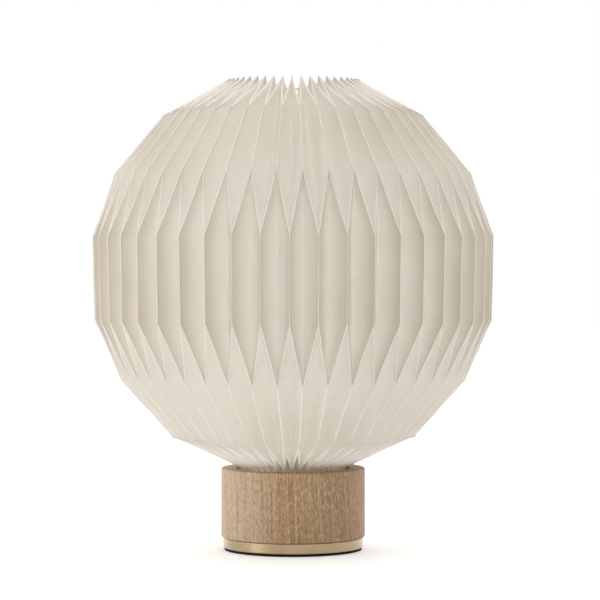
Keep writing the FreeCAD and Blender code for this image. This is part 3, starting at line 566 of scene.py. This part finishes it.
def pleat_ring_tree():
    """Copies a pleat round the axis, joins the copies and makes them slightly uneven, as by hand."""
    tree = bpy.data.node_groups.new("pleat_ring", "GeometryNodeTree")
    sockets = {}
    for name, kind in (
        ("Pleat", "NodeSocketGeometry"),
        ("Pleats", "NodeSocketInt"),
        ("First angle", "NodeSocketFloat"),
        ("Unevenness", "NodeSocketFloat"),
        ("Sheet", "NodeSocketMaterial"),
    ):
        sockets[name] = tree.interface.new_socket(name, in_out="INPUT", socket_type=kind).identifier
    tree.interface.new_socket("Shade", in_out="OUTPUT", socket_type="NodeSocketGeometry")
    given = add(tree, "NodeGroupInput").outputs
    points = add(tree, "GeometryNodePoints", None, {"Count": given["Pleats"]})
    pitch = math_node(tree, "DIVIDE", math.tau, given["Pleats"])
    index = add(tree, "GeometryNodeInputIndex").outputs[0]
    turn = math_node(tree, "ADD", math_node(tree, "MULTIPLY", index, pitch), given["First angle"])
    angles = add(tree, "ShaderNodeCombineXYZ", None, {"Z": turn}).outputs[0]
    rotation = add(tree, "FunctionNodeEulerToRotation", None, {0: angles}).outputs[0]
    copies = add(tree, "GeometryNodeInstanceOnPoints", None, {
        "Points": points.outputs[0], "Instance": given["Pleat"], "Rotation": rotation,
    })
    real = add(tree, "GeometryNodeRealizeInstances", None, {0: copies.outputs[0]})
    joined = add(tree, "GeometryNodeMergeByDistance", None, {
        "Geometry": real.outputs[0], "Distance": SEAM_GAP,
    })
    place = add(tree, "GeometryNodeInputPosition").outputs[0]
    cloud = add(tree, "ShaderNodeTexNoise", None, {"Vector": place, "Scale": 38.0, "Detail": 1.0})
    centred = add(tree, "ShaderNodeVectorMath", {"operation": "SUBTRACT"}, {
        0: cloud.outputs["Color"], 1: NOISE_MIDDLE,
    })
    moved = add(tree, "ShaderNodeVectorMath", {"operation": "SCALE"}, {
        0: centred.outputs[0], "Scale": given["Unevenness"],
    })
    uneven = add(tree, "GeometryNodeSetPosition", None, {
        "Geometry": joined.outputs[0], "Offset": moved.outputs[0],
    })
    painted = add(tree, "GeometryNodeSetMaterial", None, {
        "Geometry": uneven.outputs[0], "Material": given["Sheet"],
    })
    add(tree, "NodeGroupOutput", None, {"Shade": painted.outputs[0]})
    return tree, sockets


def place_object(name, data):
    obj = bpy.data.objects.new(name, data)
    bpy.context.scene.collection.objects.link(obj)
    return obj


def make_plain(obj):
    """Turns an object with modifiers into a plain mesh."""
    bpy.context.view_layer.update()
    depsgraph = bpy.context.evaluated_depsgraph_get()
    data = bpy.data.meshes.new_from_object(obj.evaluated_get(depsgraph), depsgraph=depsgraph)
    obj.modifiers.clear()
    obj.data = data


def make_shade():
    obj = place_object("shade_sheet", pleat_mesh())
    tree, sockets = pleat_ring_tree()
    ring = obj.modifiers.new("pleats", "NODES")
    ring.node_group = tree
    ring[sockets["Pleats"]] = PLEATS
    ring[sockets["First angle"]] = FRONT_RIDGE
    ring[sockets["Unevenness"]] = FOLD_STRAY
    ring[sockets["Sheet"]] = MATERIALS["ivory_sheet"]
    thick = obj.modifiers.new("sheet", "SOLIDIFY")
    thick.thickness = SHEET_THICKNESS
    thick.offset = 0.0
    make_plain(obj)
    obj.data.set_sharp_from_angle(angle=SHARP_FOLD)
    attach(obj, "shade")
    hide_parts("pleated_shade")


make_shade()


# Floor, light and camera

FLOOR_HALF = 6.0
FLOOR_DROP = 0.0002
FLOOR_GLOW = 0.25
FLOOR_FINISH = dict(
    light=(0.93, 0.93, 0.93, 1), dark=(0.92, 0.92, 0.92, 1),
    grain=200, roughness=(0.80, 0.90), height=0.00001)
# The room's light from the front and from the sides, and how much more comes from the back
FRONT_LEVEL, SIDE_LEVEL, BACK_GAIN = 0.15, 1.24, 0.27
ROOM_COLOUR = (1.0, 0.99, 0.975, 1)
WHITE = (1, 1, 1, 1)
SHADE_MIDDLE = (0, 0, 0.2)
CAMERA_PLACE = (0.0, -2.007, 0.2353)
CAMERA_AIM = (0.0055, 0.0, 0.1993)
CAMERA_LENS = 150.6
CAMERA_SENSOR = 36.0
CAMERA_REACH = 50.0


def white_seen(tree):
    """1 for what the camera sees directly, in a gloss or through something clear."""
    rays = add(tree, "ShaderNodeLightPath").outputs
    seen = math_node(tree, "ADD", rays["Is Camera Ray"], rays["Is Glossy Ray"], True)
    clear = math_node(tree, "SUBTRACT", rays["Is Transmission Ray"], rays["Is Diffuse Ray"], True)
    return math_node(tree, "ADD", seen, clear, True)


def make_floor():
    mesh = bmesh.new()
    bmesh.ops.create_grid(mesh, x_segments=8, y_segments=8, size=FLOOR_HALF)
    data = bpy.data.meshes.new("floor")
    mesh.to_mesh(data)
    mesh.free()
    floor = place_object("floor", data)
    floor.location.z = -FLOOR_DROP
    material = plain_surface("floor_white", **FLOOR_FINISH)
    data.materials.append(material)
    tree = material.node_tree
    output = next(node for node in tree.nodes if node.type == "OUTPUT_MATERIAL")
    strength = math_node(tree, "MULTIPLY", white_seen(tree), FLOOR_GLOW)
    glow = add(tree, "ShaderNodeEmission", None, {"Strength": strength})
    lit = output.inputs["Surface"].links[0].from_socket
    both = add(tree, "ShaderNodeAddShader", None, {0: lit, 1: glow.outputs[0]})
    tree.links.new(both.outputs[0], output.inputs["Surface"])


def soft_box(name, place, width, height, power):
    """A rectangular lamp that faces the middle of the shade."""
    light = bpy.data.lights.new(name, "AREA")
    light.shape = "RECTANGLE"
    light.size = width
    light.size_y = height
    light.energy = power
    obj = place_object(name, light)
    obj.location = place
    obj.rotation_euler = (Vector(SHADE_MIDDLE) - Vector(place)).to_track_quat("-Z", "Y").to_euler()


def make_world():
    world = bpy.data.worlds.new("studio")
    bpy.context.scene.world = world
    world.use_nodes = True
    tree = world.node_tree
    tree.nodes.clear()
    towards = add(tree, "ShaderNodeTexCoord").outputs["Generated"]
    parts = add(tree, "ShaderNodeSeparateXYZ", None, {"Vector": towards}).outputs
    level = remap(tree, parts["Y"], -1.0, -0.1, FRONT_LEVEL, SIDE_LEVEL)
    level = math_node(tree, "ADD", level, remap(tree, parts["Y"], 0.0, 1.0, 0.0, BACK_GAIN))
    room = add(tree, "ShaderNodeBackground", None, {"Color": ROOM_COLOUR, "Strength": level})
    white = add(tree, "ShaderNodeBackground", None, {"Color": WHITE, "Strength": 1.0})
    shaders = {0: white_seen(tree), 1: room.outputs[0], 2: white.outputs[0]}
    mixed = add(tree, "ShaderNodeMixShader", None, shaders)
    add(tree, "ShaderNodeOutputWorld", None, {"Surface": mixed.outputs[0]})


def make_camera():
    camera = bpy.data.cameras.new("camera")
    camera.lens = CAMERA_LENS
    camera.sensor_width = CAMERA_SENSOR
    camera.clip_end = CAMERA_REACH
    obj = place_object("camera", camera)
    obj.location = CAMERA_PLACE
    aim = Vector(CAMERA_AIM) - Vector(CAMERA_PLACE)
    obj.rotation_euler = aim.to_track_quat("-Z", "Y").to_euler()
    bpy.context.scene.camera = obj


make_floor()
soft_box("left_box", place=(-1.6, -0.9, 0.32), width=0.5, height=0.6, power=7.0)
soft_box("top_box", place=(0, 0.2, 2.0), width=2.0, height=2.0, power=4.0)
make_world()
make_camera()
bpy.context.scene.view_settings.view_transform = "Standard"
# Light crosses many folds of the sheet on its way
cycles = bpy.context.scene.cycles
cycles.max_bounces = 64
cycles.diffuse_bounces = 32
cycles.transmission_bounces = 64
